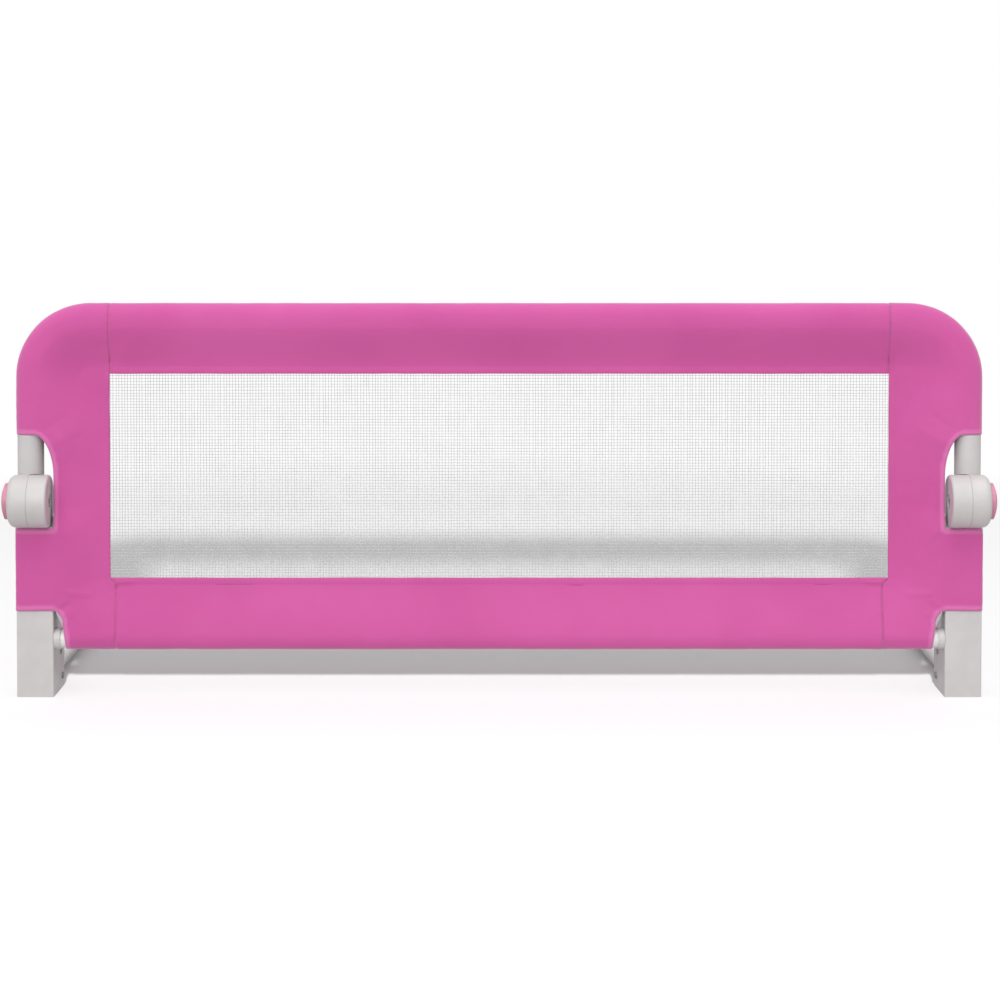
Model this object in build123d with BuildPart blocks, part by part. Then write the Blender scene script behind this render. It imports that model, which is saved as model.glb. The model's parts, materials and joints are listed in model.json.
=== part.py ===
from build123d import *

import os

# A fold-down bed rail: cloth cover and mesh on a tube frame, two hinge hubs with push buttons,
# two moulded legs and a U-shaped base that lies under a mattress.
# X runs along the rail, +Y runs back under the mattress, +Z is up. The origin is on the floor,
# in the middle of the rail's length and depth. Every length is in millimetres.

# Overall
rail_half_width = 510.0
rail_height = 405.0
rail_depth = 392.0

# Hinge hubs, given for the right-hand hub; the left-hand one is its mirror image
barrel_radius = 27.0
hinge_y = -rail_depth / 2 + barrel_radius
hinge_z = 203.0
barrel_inner_x = 461.0
barrel_split_x = 481.0
barrel_outer_x = 502.0
half_split_gap = 0.12
barrel_wall = 2.7
barrel_edge_radius = 7.5
cheek_wall = 3.0
cheek_edge_radius = 2.5
hub_boss_radius = 9.0
hub_boss_end_x = 490.6
web_x = 487.0
web_thickness = 3.0
end_wall_x = barrel_outer_x - 3.0
neck_top_z = 270.6
neck_radius = 13.5
spigot_length = 28.0

# Frame tubes
tube_x = 482.7
tube_y = hinge_y + 14.0
tube_radius = 12.5
tube_wall = 1.2
tube_bend_radius = 62.0
tube_top_z = rail_height - 1.1 - tube_radius
corner_end_x = 395.0
swage_length = 24.0
fit_gap = 0.1
bore_gap = 0.05
neck_pin_radius = 2.0
neck_pin_length = 8.0

# Legs
leg_outer_x = 496.4
leg_width = 38.0
leg_inner_x = leg_outer_x - leg_width
leg_front_y = hinge_y + 1.9
leg_depth = 18.5
leg_back_y = leg_front_y + leg_depth
leg_top_z = 187.0
leg_wall = 3.0
leg_edge_radius = 1.6
saddle_gap = 0.5
foot_back_y = hinge_y + 65.0
foot_gusset_top_z = 84.0
foot_gusset_back_z = 58.0
foot_corner_radius = 9.0
foot_screw_y = hinge_y + 50.0
foot_rivet_y = hinge_y + 42.0
foot_rivet_z = 40.0
side_screw_radius = 2.0
side_hole_depth = 14.0
rivet_head_radius = 3.4
rivet_head_height = 1.2
lug_depth = 12.9
lug_bottom_z = 146.0
lug_gap = 0.2
lug_screw_length = 9.0
lug_screw_z = 156.0

# Lower cross tube and base
cross_tube_radius = 9.5
cross_tube_y = hinge_y + 12.4
cross_tube_z = 59.0
cross_tube_half_length = 478.0
cross_boss_radius = 11.0
cross_boss_x = 452.0
base_tube_radius = 10.0
base_tube_wall = 1.2
base_tube_z = 13.0
base_arm_x = 478.0
base_arm_front_y = foot_back_y - 38.0
rear_tube_y = rail_depth / 2 - 19.0
tube_seat_depth = 30.0
rear_tube_seat_depth = 19.0
corner_block_half = 19.0
corner_block_length = 45.0
corner_block_bottom_z = 0.6
corner_block_top_z = 26.0
corner_outline_radius = 16.0
corner_edge_radius = 4.0
pad_radius = 12.0
pad_height = 3.0
pad_chamfer = 0.5

# Cover and mesh
cloth = 1.2
sleeve_gap = 0.3
sleeve_cloth = 0.8
hem_cloth = 1.0
pocket_gap = 0.4
pocket_back_room = 2.0
cloth_front_y = hinge_y + 0.4
panel_mid_y = hinge_y + 12.6
cover_outer_x = 497.6
window_half_width = 401.0
window_bottom_z = 122.0
window_top_z = 333.0
hub_cut_x = 458.0
hub_cut_top_z = 271.0
hub_cut_bottom_z = 174.0
hub_cut_corner = 11.0
foot_cut_x = 448.0
foot_cut_top_z = 88.0
hinge_line_gap = 0.3
mesh_thickness = 0.8

# Buttons, lock and pivot
button_radius = 18.6
button_flange_radius = 20.5
button_hole_radius = 18.9
button_wall = 3.1
button_skirt_x = 506.0
button_crown_wall = 3.0
flange_thickness = 2.0
flange_gap = 0.5
back_disc_x = end_wall_x + 1.8
back_disc_thickness = 1.5
peg_circle_radius = 13.5
peg_radius = 2.5
peg_hole_radius = 3.0
peg_gap = 0.35
plunger_x = 474.3
plunger_end_x = 486.2
plunger_radius = 22.0
plunger_boss_gap = 0.4
tooth_count = 12
tooth_width = 3.0
tooth_depth = 3.4
spring_radius = 13.0
spring_wire_radius = 0.6
spring_turns = 3
bolt_radius = 4.0
bolt_end_x = 495.3
bolt_chamfer = 0.6
bolt_head_x = barrel_inner_x + 0.6
bolt_head_radius = 7.0
bolt_head_height = 4.4
bolt_recess_radius = 7.2
bolt_recess_depth = 5.0
hex_socket_radius = 3.0
hex_socket_depth = 2.6
washer_radius = 8.4
washer_thickness = 1.0
washer_gap = 0.25
nut_inner_radius = 6.5
nut_thickness = 3.0

os.makedirs("parts", exist_ok=True)


def write(part, name):
    part.label = name
    export_step(part, f"parts/{name}.step")


def write_pair(part, name):
    """Writes the right-hand piece and its mirror image."""
    write(part, f"right_{name}")
    with BuildPart() as left:
        mirror(part, about=Plane.YZ)
    write(left.part, f"left_{name}")


def write_both_sides(part, name):
    """Writes one node that holds the right-hand piece and its mirror image."""
    with BuildPart() as group:
        add(part)
        mirror(part, about=Plane.YZ)
    write(group.part, name)


def hub_plane(x):
    """The plane across the hinge axis at x, its own axes along Y and Z."""
    return Plane(origin=(x, hinge_y, hinge_z), x_dir=(0, 1, 0), z_dir=(1, 0, 0))


def cross_plane(x, y, z):
    """A plane across X with its origin at (x, y, z)."""
    return Plane(origin=(x, y, z), x_dir=(0, 1, 0), z_dir=(1, 0, 0))


neck_pin_plane = Plane(
    origin=(tube_x, tube_y + tube_radius - 0.3, neck_top_z + spigot_length / 2),
    x_dir=(1, 0, 0),
    z_dir=(0, 1, 0),
)

# Hinge housing: outer half of the barrel, with the neck and the spigot that carries the tube
housing_start_x = barrel_split_x + half_split_gap
with BuildPart() as housing:
    with BuildSketch(hub_plane(housing_start_x)):
        Circle(barrel_radius)
    extrude(amount=barrel_outer_x - housing_start_x)
    fillet(housing.edges().filter_by(GeomType.CIRCLE).sort_by(Axis.X)[-1], radius=barrel_edge_radius)
    with BuildSketch(Plane.XY.offset(hinge_z)):
        with Locations((tube_x, tube_y)):
            Circle(neck_radius)
    extrude(amount=neck_top_z - hinge_z)
    with BuildSketch(hub_plane(barrel_inner_x)):
        Circle(barrel_radius + saddle_gap)
    extrude(amount=housing_start_x - barrel_inner_x, mode=Mode.SUBTRACT)
    with BuildSketch(Plane.XY.offset(neck_top_z)):
        with Locations((tube_x, tube_y)):
            Circle(tube_radius - tube_wall - fit_gap)
    extrude(amount=spigot_length)
    with BuildSketch(hub_plane(housing_start_x)):
        Circle(barrel_radius - barrel_wall)
    extrude(amount=web_x - housing_start_x, mode=Mode.SUBTRACT)
    with BuildSketch(hub_plane(web_x + web_thickness)):
        Circle(barrel_radius - barrel_wall)
    extrude(amount=end_wall_x - web_x - web_thickness, mode=Mode.SUBTRACT)
    with BuildSketch(hub_plane(end_wall_x)):
        Circle(button_hole_radius)
    extrude(amount=barrel_outer_x - end_wall_x, mode=Mode.SUBTRACT)
    with BuildSketch(hub_plane(housing_start_x + half_split_gap)):
        Circle(hub_boss_radius)
    extrude(amount=hub_boss_end_x - housing_start_x - half_split_gap)
    with BuildSketch(hub_plane(housing_start_x)):
        Circle(bolt_radius + bore_gap)
        with PolarLocations(peg_circle_radius, 2):
            Circle(peg_hole_radius)
    extrude(amount=hub_boss_end_x - housing_start_x, mode=Mode.SUBTRACT)
    with BuildSketch(neck_pin_plane):
        Circle(neck_pin_radius)
    extrude(amount=-neck_pin_length, mode=Mode.SUBTRACT)
write_pair(housing.part, "hinge_housing")

# Hinge cheek: inner half of the barrel, with the lug that goes down inside the leg
cheek_end_x = barrel_split_x - half_split_gap
lug_front_y = leg_front_y + leg_wall - lug_gap
lug_screw_x = (leg_inner_x + leg_wall + cheek_end_x) / 2
with BuildPart() as cheek:
    with BuildSketch(hub_plane(barrel_inner_x)):
        Circle(barrel_radius)
    extrude(amount=cheek_end_x - barrel_inner_x)
    fillet(cheek.edges().filter_by(GeomType.CIRCLE).sort_by(Axis.X)[0], radius=cheek_edge_radius)
    with BuildSketch(Plane.XY.offset(lug_bottom_z)):
        with Locations((leg_inner_x + leg_wall + lug_gap, lug_front_y)):
            Rectangle(
                cheek_end_x - leg_inner_x - leg_wall - 2 * lug_gap,
                lug_depth,
                align=(Align.MIN, Align.MIN),
            )
    extrude(amount=hinge_z - lug_bottom_z)
    with BuildSketch(Plane(origin=(lug_screw_x, leg_back_y, lug_screw_z), z_dir=(0, -1, 0))):
        Circle(side_screw_radius)
    extrude(amount=lug_screw_length, mode=Mode.SUBTRACT)
    with BuildSketch(hub_plane(barrel_inner_x + cheek_wall)):
        Circle(barrel_radius - cheek_wall)
        Circle(hub_boss_radius, mode=Mode.SUBTRACT)
    extrude(amount=cheek_end_x - barrel_inner_x - cheek_wall, mode=Mode.SUBTRACT)
    with BuildSketch(hub_plane(barrel_inner_x)):
        Circle(bolt_radius + bore_gap)
    extrude(amount=cheek_end_x - barrel_inner_x, mode=Mode.SUBTRACT)
    with BuildSketch(hub_plane(barrel_inner_x)):
        Circle(bolt_recess_radius)
    extrude(amount=bolt_recess_depth, mode=Mode.SUBTRACT)
write_pair(cheek.part, "hinge_cheek")

# Pivot bolt, washer and nut on the hinge axis
with BuildPart() as bolt:
    with BuildSketch(hub_plane(bolt_head_x)):
        Circle(bolt_head_radius)
    extrude(amount=bolt_head_height)
    with BuildSketch(hub_plane(bolt_head_x)):
        RegularPolygon(hex_socket_radius, 6)
    extrude(amount=hex_socket_depth, mode=Mode.SUBTRACT)
    with BuildSketch(hub_plane(bolt_head_x + bolt_head_height)):
        Circle(bolt_radius)
    extrude(amount=bolt_end_x - bolt_head_x - bolt_head_height)
    chamfer(bolt.edges().filter_by(GeomType.CIRCLE).sort_by(Axis.X)[-1], length=bolt_chamfer)
write_pair(bolt.part, "pivot_bolt")

washer_x = hub_boss_end_x + washer_gap
with BuildPart() as washer:
    with BuildSketch(hub_plane(washer_x)):
        Circle(washer_radius)
        Circle(bolt_radius, mode=Mode.SUBTRACT)
    extrude(amount=washer_thickness)
    mirror(washer.part, about=Plane.YZ)
write(washer.part, "pivot_washers")

with BuildPart() as nut:
    with BuildSketch(hub_plane(washer_x + washer_thickness)):
        RegularPolygon(nut_inner_radius, 6, major_radius=False)
        Circle(bolt_radius, mode=Mode.SUBTRACT)
    extrude(amount=nut_thickness)
write_pair(nut.part, "pivot_nut")

# Lock plunger: a toothed ring that spans both halves of the barrel at rest and slides inwards on
# the cheek's boss, clear of the housing, when its button is pressed. The spring is behind it.
with BuildPart() as plunger:
    with BuildSketch(hub_plane(plunger_x)):
        Circle(plunger_radius)
        with PolarLocations(plunger_radius, tooth_count):
            Rectangle(tooth_width, tooth_depth)
        Circle(hub_boss_radius + plunger_boss_gap, mode=Mode.SUBTRACT)
    extrude(amount=plunger_end_x - plunger_x)
write_pair(plunger.part, "lock_plunger")

spring_gap = 0.25
spring_start_x = barrel_inner_x + cheek_wall + spring_wire_radius + spring_gap
spring_length = plunger_x - spring_start_x - spring_wire_radius - spring_gap
with BuildPart() as spring:
    with BuildLine() as coil:
        Helix(
            pitch=spring_length / spring_turns,
            height=spring_length,
            radius=spring_radius,
            center=(spring_start_x, hinge_y, hinge_z),
            direction=(1, 0, 0),
        )
    with BuildSketch(Plane(coil.wire() @ 0, z_dir=coil.wire() % 0)):
        Circle(spring_wire_radius)
    sweep(path=coil.wire(), is_frenet=True)
write_pair(spring.part, "lock_spring")

# Push button: domed cap, skirt with a flange behind the end wall, and two pegs to the plunger
flange_x = end_wall_x - flange_thickness - flange_gap
skirt_end_x = button_skirt_x
skirt_inner_radius = button_radius - button_wall
dome_height = rail_half_width - skirt_end_x
dome_radius = (button_radius**2 + dome_height**2) / (2 * dome_height)
peg_tip_x = plunger_end_x + peg_gap
with BuildPart() as button:
    with BuildSketch(Plane(origin=(0, hinge_y, hinge_z), z_dir=(0, 0, 1))):
        with BuildLine():
            Polyline(
                (flange_x, skirt_inner_radius),
                (flange_x, button_flange_radius),
                (flange_x + flange_thickness, button_flange_radius),
                (flange_x + flange_thickness, button_radius),
                (skirt_end_x, button_radius),
            )
            RadiusArc((skirt_end_x, button_radius), (rail_half_width, 0), dome_radius)
            Polyline(
                (rail_half_width, 0),
                (rail_half_width - button_crown_wall, 0),
                (skirt_end_x - 0.6, skirt_inner_radius),
                (flange_x, skirt_inner_radius),
            )
        make_face()
    revolve(axis=Axis((0, hinge_y, hinge_z), (1, 0, 0)), revolution_arc=360)
    with BuildSketch(hub_plane(back_disc_x)):
        Circle(skirt_inner_radius + 0.1)
    extrude(amount=back_disc_thickness)
    with BuildSketch(hub_plane(peg_tip_x)):
        with PolarLocations(peg_circle_radius, 2):
            Circle(peg_radius)
    extrude(amount=back_disc_x + 0.2 - peg_tip_x)
write_pair(button.part, "button")

# Flush pins through the back of each corner tube into its spigot
with BuildPart() as neck_pin:
    with BuildSketch(neck_pin_plane):
        Circle(neck_pin_radius)
    extrude(amount=-neck_pin_length)
write_both_sides(neck_pin.part, "neck_pins")

# Upper frame: a corner tube each side and the top tube, whose swaged ends plug into them
corner_foot_z = neck_top_z + fit_gap
with BuildPart() as corner_tube:
    with BuildLine(Plane.XZ.offset(-tube_y)) as corner_path:
        FilletPolyline(
            (tube_x, corner_foot_z),
            (tube_x, tube_top_z),
            (corner_end_x, tube_top_z),
            radius=tube_bend_radius,
        )
    with BuildSketch(Plane(origin=(tube_x, tube_y, corner_foot_z), z_dir=(0, 0, 1))):
        Circle(tube_radius)
        Circle(tube_radius - tube_wall, mode=Mode.SUBTRACT)
    sweep(path=corner_path.wire())
    with BuildSketch(neck_pin_plane):
        Circle(neck_pin_radius)
    extrude(amount=-neck_pin_length, mode=Mode.SUBTRACT)
write_pair(corner_tube.part, "corner_tube")

top_tube_end_x = corner_end_x - fit_gap
swage_radius = tube_radius - tube_wall - fit_gap
with BuildPart() as top_tube:
    with BuildSketch(cross_plane(-top_tube_end_x, tube_y, tube_top_z)):
        Circle(tube_radius)
    extrude(amount=2 * top_tube_end_x)
    with BuildSketch(cross_plane(-corner_end_x - swage_length, tube_y, tube_top_z)):
        Circle(swage_radius)
    extrude(amount=2 * (corner_end_x + swage_length))
    with BuildSketch(cross_plane(-corner_end_x - swage_length, tube_y, tube_top_z)):
        Circle(swage_radius - tube_wall)
    extrude(amount=2 * (corner_end_x + swage_length), mode=Mode.SUBTRACT)
write(top_tube.part, "top_tube")


cross_slot_share = 0.28
cross_slot_depth_share = 0.45


def screw(plane, head_radius, head_height, shank_radius, shank_length):
    """A cross-head screw: its head stands out along the plane's normal, its shank goes in."""
    slot_width = head_radius * cross_slot_share
    with BuildPart() as made:
        with BuildSketch(plane):
            Circle(head_radius)
        extrude(amount=head_height)
        with BuildSketch(plane.offset(head_height)):
            Rectangle(head_radius, slot_width)
            Rectangle(slot_width, head_radius)
        extrude(amount=-head_height * cross_slot_depth_share, mode=Mode.SUBTRACT)
        with BuildSketch(plane):
            Circle(shank_radius)
        extrude(amount=-shank_length)
    return made.part


# Legs: a hollow post with the foot bracket behind it, one moulding
leg_centre_x = leg_inner_x + leg_width / 2
post_floor_z = cross_tube_z + cross_boss_radius + 6.0
lug_pocket_z = lug_bottom_z - 4.0
lug_pocket_gap = 0.4
with BuildPart() as leg:
    with BuildSketch(Plane.YZ.offset(leg_inner_x)) as profile:
        with BuildLine():
            Polyline(
                (leg_front_y, 0),
                (foot_back_y, 0),
                (foot_back_y, foot_gusset_back_z),
                (leg_back_y, foot_gusset_top_z),
                (leg_back_y, leg_top_z),
                (leg_front_y, leg_top_z),
                (leg_front_y, 0),
            )
        make_face()
        fillet(profile.vertices().group_by(Axis.X)[-1], radius=foot_corner_radius)
    extrude(amount=leg_width)
    fillet(leg.edges().filter_by(Axis.Z), radius=leg_edge_radius)
    with BuildSketch(cross_plane(cross_boss_x, cross_tube_y, cross_tube_z)):
        Circle(cross_boss_radius)
    extrude(amount=leg_inner_x - cross_boss_x)
    with BuildSketch(hub_plane(leg_inner_x)):
        Circle(barrel_radius + saddle_gap)
    extrude(amount=leg_width, mode=Mode.SUBTRACT)
    with BuildSketch(Plane.XY.offset(post_floor_z)):
        with Locations((leg_centre_x, (leg_front_y + leg_back_y) / 2)):
            Rectangle(leg_width - 2 * leg_wall, leg_depth - 2 * leg_wall)
    extrude(amount=leg_top_z - post_floor_z, mode=Mode.SUBTRACT)
    with BuildSketch(Plane.XY.offset(lug_pocket_z)):
        with Locations((leg_inner_x + leg_wall, leg_front_y + leg_wall - lug_pocket_gap)):
            Rectangle(
                cheek_end_x - leg_inner_x - leg_wall,
                lug_depth + lug_pocket_gap,
                align=(Align.MIN, Align.MIN),
            )
    extrude(amount=leg_top_z - lug_pocket_z, mode=Mode.SUBTRACT)
    with BuildSketch(Plane(origin=(base_arm_x, foot_back_y, base_tube_z), z_dir=(0, -1, 0))):
        Circle(base_tube_radius + bore_gap)
    extrude(amount=foot_back_y - base_arm_front_y, mode=Mode.SUBTRACT)
    with BuildSketch(cross_plane(cross_boss_x, cross_tube_y, cross_tube_z)):
        Circle(cross_tube_radius + bore_gap)
    extrude(amount=cross_tube_half_length - cross_boss_x, mode=Mode.SUBTRACT)
    with BuildSketch(Plane(origin=(lug_screw_x, leg_back_y, lug_screw_z), z_dir=(0, -1, 0))):
        Circle(side_screw_radius)
    extrude(amount=leg_wall + 1.0, mode=Mode.SUBTRACT)
    with BuildSketch(cross_plane(leg_inner_x, foot_screw_y, base_tube_z)):
        Circle(side_screw_radius)
    extrude(amount=side_hole_depth, mode=Mode.SUBTRACT)
    with BuildSketch(cross_plane(leg_inner_x, foot_rivet_y, foot_rivet_z)):
        Circle(side_screw_radius)
    extrude(amount=side_hole_depth, mode=Mode.SUBTRACT)
write_pair(leg.part, "leg")

# Screws that hold each cheek's lug in its leg, and screws and rivets in the foot brackets
lug_screw_plane = Plane(origin=(lug_screw_x, leg_back_y, lug_screw_z), z_dir=(0, 1, 0))
lug_screw = screw(lug_screw_plane, 3.8, 1.6, side_screw_radius, lug_screw_length)
write_both_sides(lug_screw, "lug_screws")
foot_screw_plane = Plane(
    origin=(leg_inner_x, foot_screw_y, base_tube_z), x_dir=(0, 1, 0), z_dir=(-1, 0, 0)
)
foot_screw = screw(foot_screw_plane, 3.6, 1.5, side_screw_radius, 11.5)
write_both_sides(foot_screw, "foot_screws")

with BuildPart() as foot_rivet:
    with BuildSketch(cross_plane(leg_inner_x, foot_rivet_y, foot_rivet_z)):
        Circle(side_screw_radius)
    extrude(amount=12.0)
    with BuildSketch(cross_plane(leg_inner_x, foot_rivet_y, foot_rivet_z)):
        Circle(rivet_head_radius)
    extrude(amount=-rivet_head_height)
    fillet(foot_rivet.edges().filter_by(GeomType.CIRCLE).sort_by(Axis.X)[0], radius=0.9)
write_both_sides(foot_rivet.part, "foot_rivets")

# Lower cross tube between the legs
with BuildPart() as cross_tube:
    with BuildSketch(cross_plane(-cross_tube_half_length, cross_tube_y, cross_tube_z)):
        Circle(cross_tube_radius)
        Circle(cross_tube_radius - base_tube_wall, mode=Mode.SUBTRACT)
    extrude(amount=2 * cross_tube_half_length)
write(cross_tube.part, "lower_cross_tube")

# Base: an arm back from each foot, and corner mouldings that join them to a rear tube
corner_front_y = rear_tube_y - corner_block_length
with BuildPart() as base_arm:
    with BuildSketch(Plane(origin=(base_arm_x, base_arm_front_y, base_tube_z), z_dir=(0, 1, 0))):
        Circle(base_tube_radius)
        Circle(base_tube_radius - base_tube_wall, mode=Mode.SUBTRACT)
    extrude(amount=corner_front_y + tube_seat_depth - base_arm_front_y)
    with BuildSketch(cross_plane(leg_inner_x, foot_screw_y, base_tube_z)):
        Circle(side_screw_radius)
    extrude(amount=side_hole_depth, mode=Mode.SUBTRACT)
write_pair(base_arm.part, "base_arm")

rear_tube_seat_x = base_arm_x - 14.0
rear_tube_end_x = rear_tube_seat_x - rear_tube_seat_depth
with BuildPart() as rear_corner:
    with BuildSketch(Plane.XY.offset(corner_block_bottom_z)) as outline:
        with BuildLine():
            Polyline(
                (base_arm_x - corner_block_half, corner_front_y),
                (base_arm_x + corner_block_half, corner_front_y),
                (base_arm_x + corner_block_half, rear_tube_y + corner_block_half),
                (rear_tube_end_x, rear_tube_y + corner_block_half),
                (rear_tube_end_x, rear_tube_y - corner_block_half),
                (base_arm_x - corner_block_half, rear_tube_y - corner_block_half),
                (base_arm_x - corner_block_half, corner_front_y),
            )
        make_face()
        fillet(outline.vertices().sort_by(Axis.X)[-1], radius=corner_outline_radius)
    extrude(amount=corner_block_top_z - corner_block_bottom_z)
    fillet(rear_corner.faces().sort_by(Axis.Z)[-1].edges(), radius=corner_edge_radius)
    with BuildSketch(Plane(origin=(base_arm_x, corner_front_y, base_tube_z), z_dir=(0, 1, 0))):
        Circle(base_tube_radius + bore_gap)
    extrude(amount=tube_seat_depth, mode=Mode.SUBTRACT)
    with BuildSketch(cross_plane(rear_tube_end_x, rear_tube_y, base_tube_z)):
        Circle(base_tube_radius + bore_gap)
    extrude(amount=rear_tube_seat_x - rear_tube_end_x, mode=Mode.SUBTRACT)
    with BuildSketch(Plane.XY.offset(corner_block_bottom_z)):
        with Locations((base_arm_x, rear_tube_y)):
            Circle(pad_radius + fit_gap)
    extrude(amount=pad_height - corner_block_bottom_z, mode=Mode.SUBTRACT)
write_pair(rear_corner.part, "rear_corner")

with BuildPart() as rear_tube:
    with BuildSketch(cross_plane(-rear_tube_seat_x, rear_tube_y, base_tube_z)):
        Circle(base_tube_radius)
        Circle(base_tube_radius - base_tube_wall, mode=Mode.SUBTRACT)
    extrude(amount=2 * rear_tube_seat_x)
write(rear_tube.part, "rear_cross_tube")

with BuildPart() as pad:
    with BuildSketch(Plane.XY):
        with Locations((base_arm_x, rear_tube_y)):
            Circle(pad_radius)
    extrude(amount=pad_height)
    chamfer(pad.edges().filter_by(GeomType.CIRCLE).sort_by(Axis.Z)[0], length=pad_chamfer)
write_both_sides(pad.part, "rear_pads")

# Cover: flat panels with sleeves round the tubes. The hinge line splits the side panels.
sleeve_bore = tube_radius + sleeve_gap
sleeve_radius = sleeve_bore + sleeve_cloth
hem_bore = cross_tube_radius + sleeve_gap
hem_radius = hem_bore + hem_cloth
panel_back_y = panel_mid_y + cloth / 2


def panel_plane(y):
    """A plane facing the front, its own axes along X and Z."""
    return Plane(origin=(0, y, 0), x_dir=(1, 0, 0), z_dir=(0, -1, 0))


bend_x = tube_x - tube_bend_radius
bend_z = tube_top_z - tube_bend_radius
with BuildPart() as cover_upper:
    with BuildSketch(panel_plane(panel_back_y)):
        with BuildLine():
            Polyline(
                (window_half_width, hinge_z + hinge_line_gap),
                (hub_cut_x, hinge_z + hinge_line_gap),
                (hub_cut_x, hub_cut_top_z - hub_cut_corner),
            )
            RadiusArc(
                (hub_cut_x, hub_cut_top_z - hub_cut_corner),
                (hub_cut_x + hub_cut_corner, hub_cut_top_z),
                hub_cut_corner,
            )
            Polyline(
                (hub_cut_x + hub_cut_corner, hub_cut_top_z),
                (tube_x, hub_cut_top_z),
                (tube_x, bend_z),
            )
            RadiusArc((tube_x, bend_z), (bend_x, tube_top_z), -tube_bend_radius)
            Polyline(
                (bend_x, tube_top_z),
                (window_half_width, tube_top_z),
                (window_half_width, hinge_z + hinge_line_gap),
            )
        make_face()
    extrude(amount=cloth)
    with BuildLine(Plane.XZ.offset(-tube_y)) as sleeve_path:
        FilletPolyline(
            (tube_x, hub_cut_top_z),
            (tube_x, tube_top_z),
            (window_half_width, tube_top_z),
            radius=tube_bend_radius,
        )
    with BuildSketch(Plane(origin=(tube_x, tube_y, hub_cut_top_z), z_dir=(0, 0, 1))):
        Circle(sleeve_radius)
    sweep(path=sleeve_path.wire())
    with BuildSketch(Plane(origin=(tube_x, tube_y, hub_cut_top_z - 1.0), z_dir=(0, 0, 1))):
        Circle(sleeve_bore)
    extrude(amount=bend_z - hub_cut_top_z + 1.0, mode=Mode.SUBTRACT)
    with BuildLine(Plane.XZ.offset(-tube_y)) as bore_path:
        FilletPolyline(
            (tube_x, bend_z - 0.5),
            (tube_x, tube_top_z),
            (window_half_width, tube_top_z),
            radius=tube_bend_radius - 0.01,
        )
    with BuildSketch(Plane(origin=(tube_x, tube_y, bend_z - 0.5), z_dir=(0, 0, 1))):
        Circle(sleeve_bore)
    sweep(path=bore_path.wire(), mode=Mode.SUBTRACT)
write_pair(cover_upper.part, "cover_side_upper")


pocket_edge_x = leg_inner_x - 0.5
lower_panel_points = (
    (window_half_width, hinge_z - hinge_line_gap),
    (pocket_edge_x, hinge_z - hinge_line_gap),
    (pocket_edge_x, foot_cut_top_z),
    (foot_cut_x, foot_cut_top_z - 10.0),
    (foot_cut_x, cross_tube_z),
    (window_half_width, cross_tube_z),
    (window_half_width, hinge_z - hinge_line_gap),
)
pocket_bottom_z = foot_gusset_top_z + 8.0
with BuildPart() as cover_lower:
    with BuildSketch(panel_plane(panel_back_y)):
        with BuildLine():
            Polyline(*lower_panel_points)
        make_face()
    extrude(amount=cloth)
    with BuildSketch(Plane.XY.offset(pocket_bottom_z)):
        with Locations((cover_outer_x, cloth_front_y)):
            Rectangle(
                cover_outer_x - leg_inner_x + pocket_gap + cloth,
                leg_back_y - cloth_front_y + pocket_back_room + cloth,
                align=(Align.MAX, Align.MIN),
            )
        with Locations((leg_outer_x + pocket_gap, cloth_front_y + cloth)):
            Rectangle(
                leg_width + 2 * pocket_gap,
                leg_back_y - cloth_front_y - cloth + pocket_back_room,
                align=(Align.MAX, Align.MIN),
                mode=Mode.SUBTRACT,
            )
    extrude(amount=hub_cut_bottom_z - pocket_bottom_z)
    with BuildSketch(cross_plane(window_half_width, cross_tube_y, cross_tube_z)):
        Circle(hem_radius)
    extrude(amount=foot_cut_x - window_half_width)
    with BuildSketch(cross_plane(window_half_width, cross_tube_y, cross_tube_z)):
        Circle(hem_bore)
    extrude(amount=foot_cut_x - window_half_width, mode=Mode.SUBTRACT)
write_pair(cover_lower.part, "cover_side_lower")

# Top and bottom bands between the side panels: hollow wedges that run from a tube to the window
band_half = window_half_width - bore_gap
cavity_tip = 0.4
cavity_tip_inset = 5.0


def band(tube_centre_y, tube_centre_z, outer_radius, window_z):
    """A hollow wedge with a round end about a tube and a thin edge at the window."""
    to_tube = 1 if tube_centre_z > window_z else -1
    with BuildPart() as made:
        with BuildSketch(cross_plane(-band_half, 0, 0)):
            with Locations((tube_centre_y, tube_centre_z)):
                Circle(outer_radius)
            with Locations((panel_mid_y, window_z + to_tube * cloth / 2)):
                Rectangle(2 * cloth, cloth)
            make_hull()
        extrude(amount=2 * band_half)
        with BuildSketch(cross_plane(-band_half, 0, 0)):
            with Locations((tube_centre_y, tube_centre_z)):
                Circle(outer_radius - sleeve_cloth)
            with Locations((panel_mid_y, window_z + to_tube * cavity_tip_inset)):
                Rectangle(cavity_tip, cloth)
            make_hull()
        extrude(amount=2 * band_half, mode=Mode.SUBTRACT)
    return made.part


write(band(tube_y, tube_top_z, sleeve_radius, window_top_z), "cover_top_band")
write(band(cross_tube_y, cross_tube_z, hem_radius, window_bottom_z), "cover_bottom_band")

# Mesh window, in two halves that meet at the hinge line
for name, low_z, high_z in (
    ("mesh_lower", window_bottom_z, hinge_z - hinge_line_gap),
    ("mesh_upper", hinge_z + hinge_line_gap, window_top_z),
):
    with BuildPart() as mesh:
        with BuildSketch(panel_plane(panel_mid_y + mesh_thickness / 2)):
            with Locations((0, low_z)):
                Rectangle(2 * band_half, high_z - low_z, align=(Align.CENTER, Align.MIN))
        extrude(amount=mesh_thickness)
    write(mesh.part, name)
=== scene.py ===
import json
import math

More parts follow.
